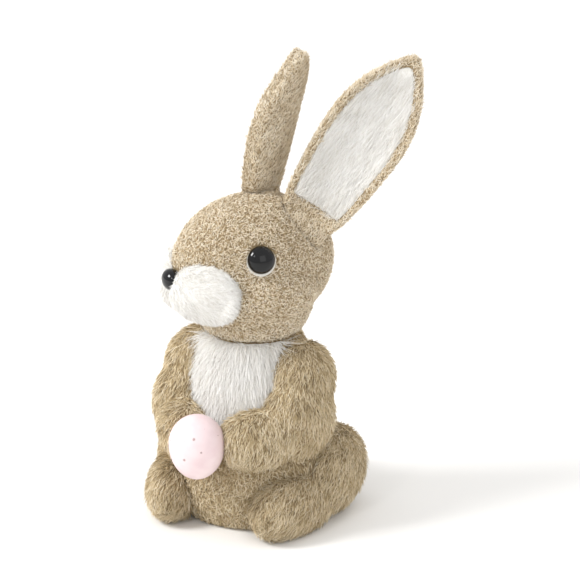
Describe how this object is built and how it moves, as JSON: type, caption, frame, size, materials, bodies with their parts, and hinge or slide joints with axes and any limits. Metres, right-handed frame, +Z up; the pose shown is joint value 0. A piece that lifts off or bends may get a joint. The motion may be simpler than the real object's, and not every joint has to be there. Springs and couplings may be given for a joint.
{
  "type": "stuffed bunny rabbit",
  "caption": "Sitting bunny figure of foam coated in sisal fibre, with white bib, muzzle and ear linings, bead eyes and an egg held in its paws; head turns and ears bend.",
  "frame": {"origin": "centre of the underside of the round base disc, on the surface the figure stands on", "axes": "+Z up, body faces -Y, the figure's left side is +X; the head is stored turned 39 degrees about +Z towards the figure's right"},
  "size_m": [0.1025, 0.0984, 0.1883],
  "materials": {
    "sisal_natural": "matte",
    "sisal_white": "matte",
    "foam": "matte",
    "card": "matte",
    "black_bead": "gloss",
    "white_trim": "matte",
    "wire": "satin",
    "peg_wood": "matte",
    "egg_paint": "satin"
  },
  "bodies": {
    "body": {"base_disc": "card", "body_core": "foam", "body_coat": "sisal_natural", "bib": "sisal_white", "neck_peg": "peg_wood", "tail": "sisal_white", "egg": "egg_paint", "arm_core_left": "foam", "arm_coat_left": "sisal_natural", "arm_core_right": "foam", "arm_coat_right": "sisal_natural", "leg_core_left": "foam", "leg_coat_left": "sisal_natural", "leg_core_right": "foam", "leg_coat_right": "sisal_natural"},
    "head": {"head_core": "foam", "head_coat": "sisal_natural", "muzzle_left": "sisal_white", "muzzle_right": "sisal_white", "nose": "black_bead", "eye_left": "black_bead", "eye_right": "black_bead", "eye_rim_left": "white_trim", "eye_rim_right": "white_trim", "ear_stem_left": "wire", "ear_stem_right": "wire"},
    "ear_left": {"ear_coat_left": "sisal_natural", "ear_board_left": "card", "ear_lining_left": "sisal_white", "ear_wire_left": "wire"},
    "ear_right": {"ear_coat_right": "sisal_natural", "ear_board_right": "card", "ear_lining_right": "sisal_white", "ear_wire_right": "wire"}
  },
  "joints": [
    {"name": "head_turn", "type": "hinge", "parent": "body", "child": "head", "pos_m": [0, 0, 0.0762], "axis": [0, 0, 1], "range_deg": [-36, 114]},
    {"name": "ear_left_bend", "type": "hinge", "parent": "head", "child": "ear_left", "pos_m": [0.018, 0.00602, 0.1182], "axis": [0.7919, 0.2727, -0.5463], "range_deg": [-20, 15]},
    {"name": "ear_right_bend", "type": "hinge", "parent": "head", "child": "ear_right", "pos_m": [-0.00288, 0.01392, 0.1213], "axis": [-0.0174, -0.9984, -0.0537], "range_deg": [-4, 26]}
  ]
}
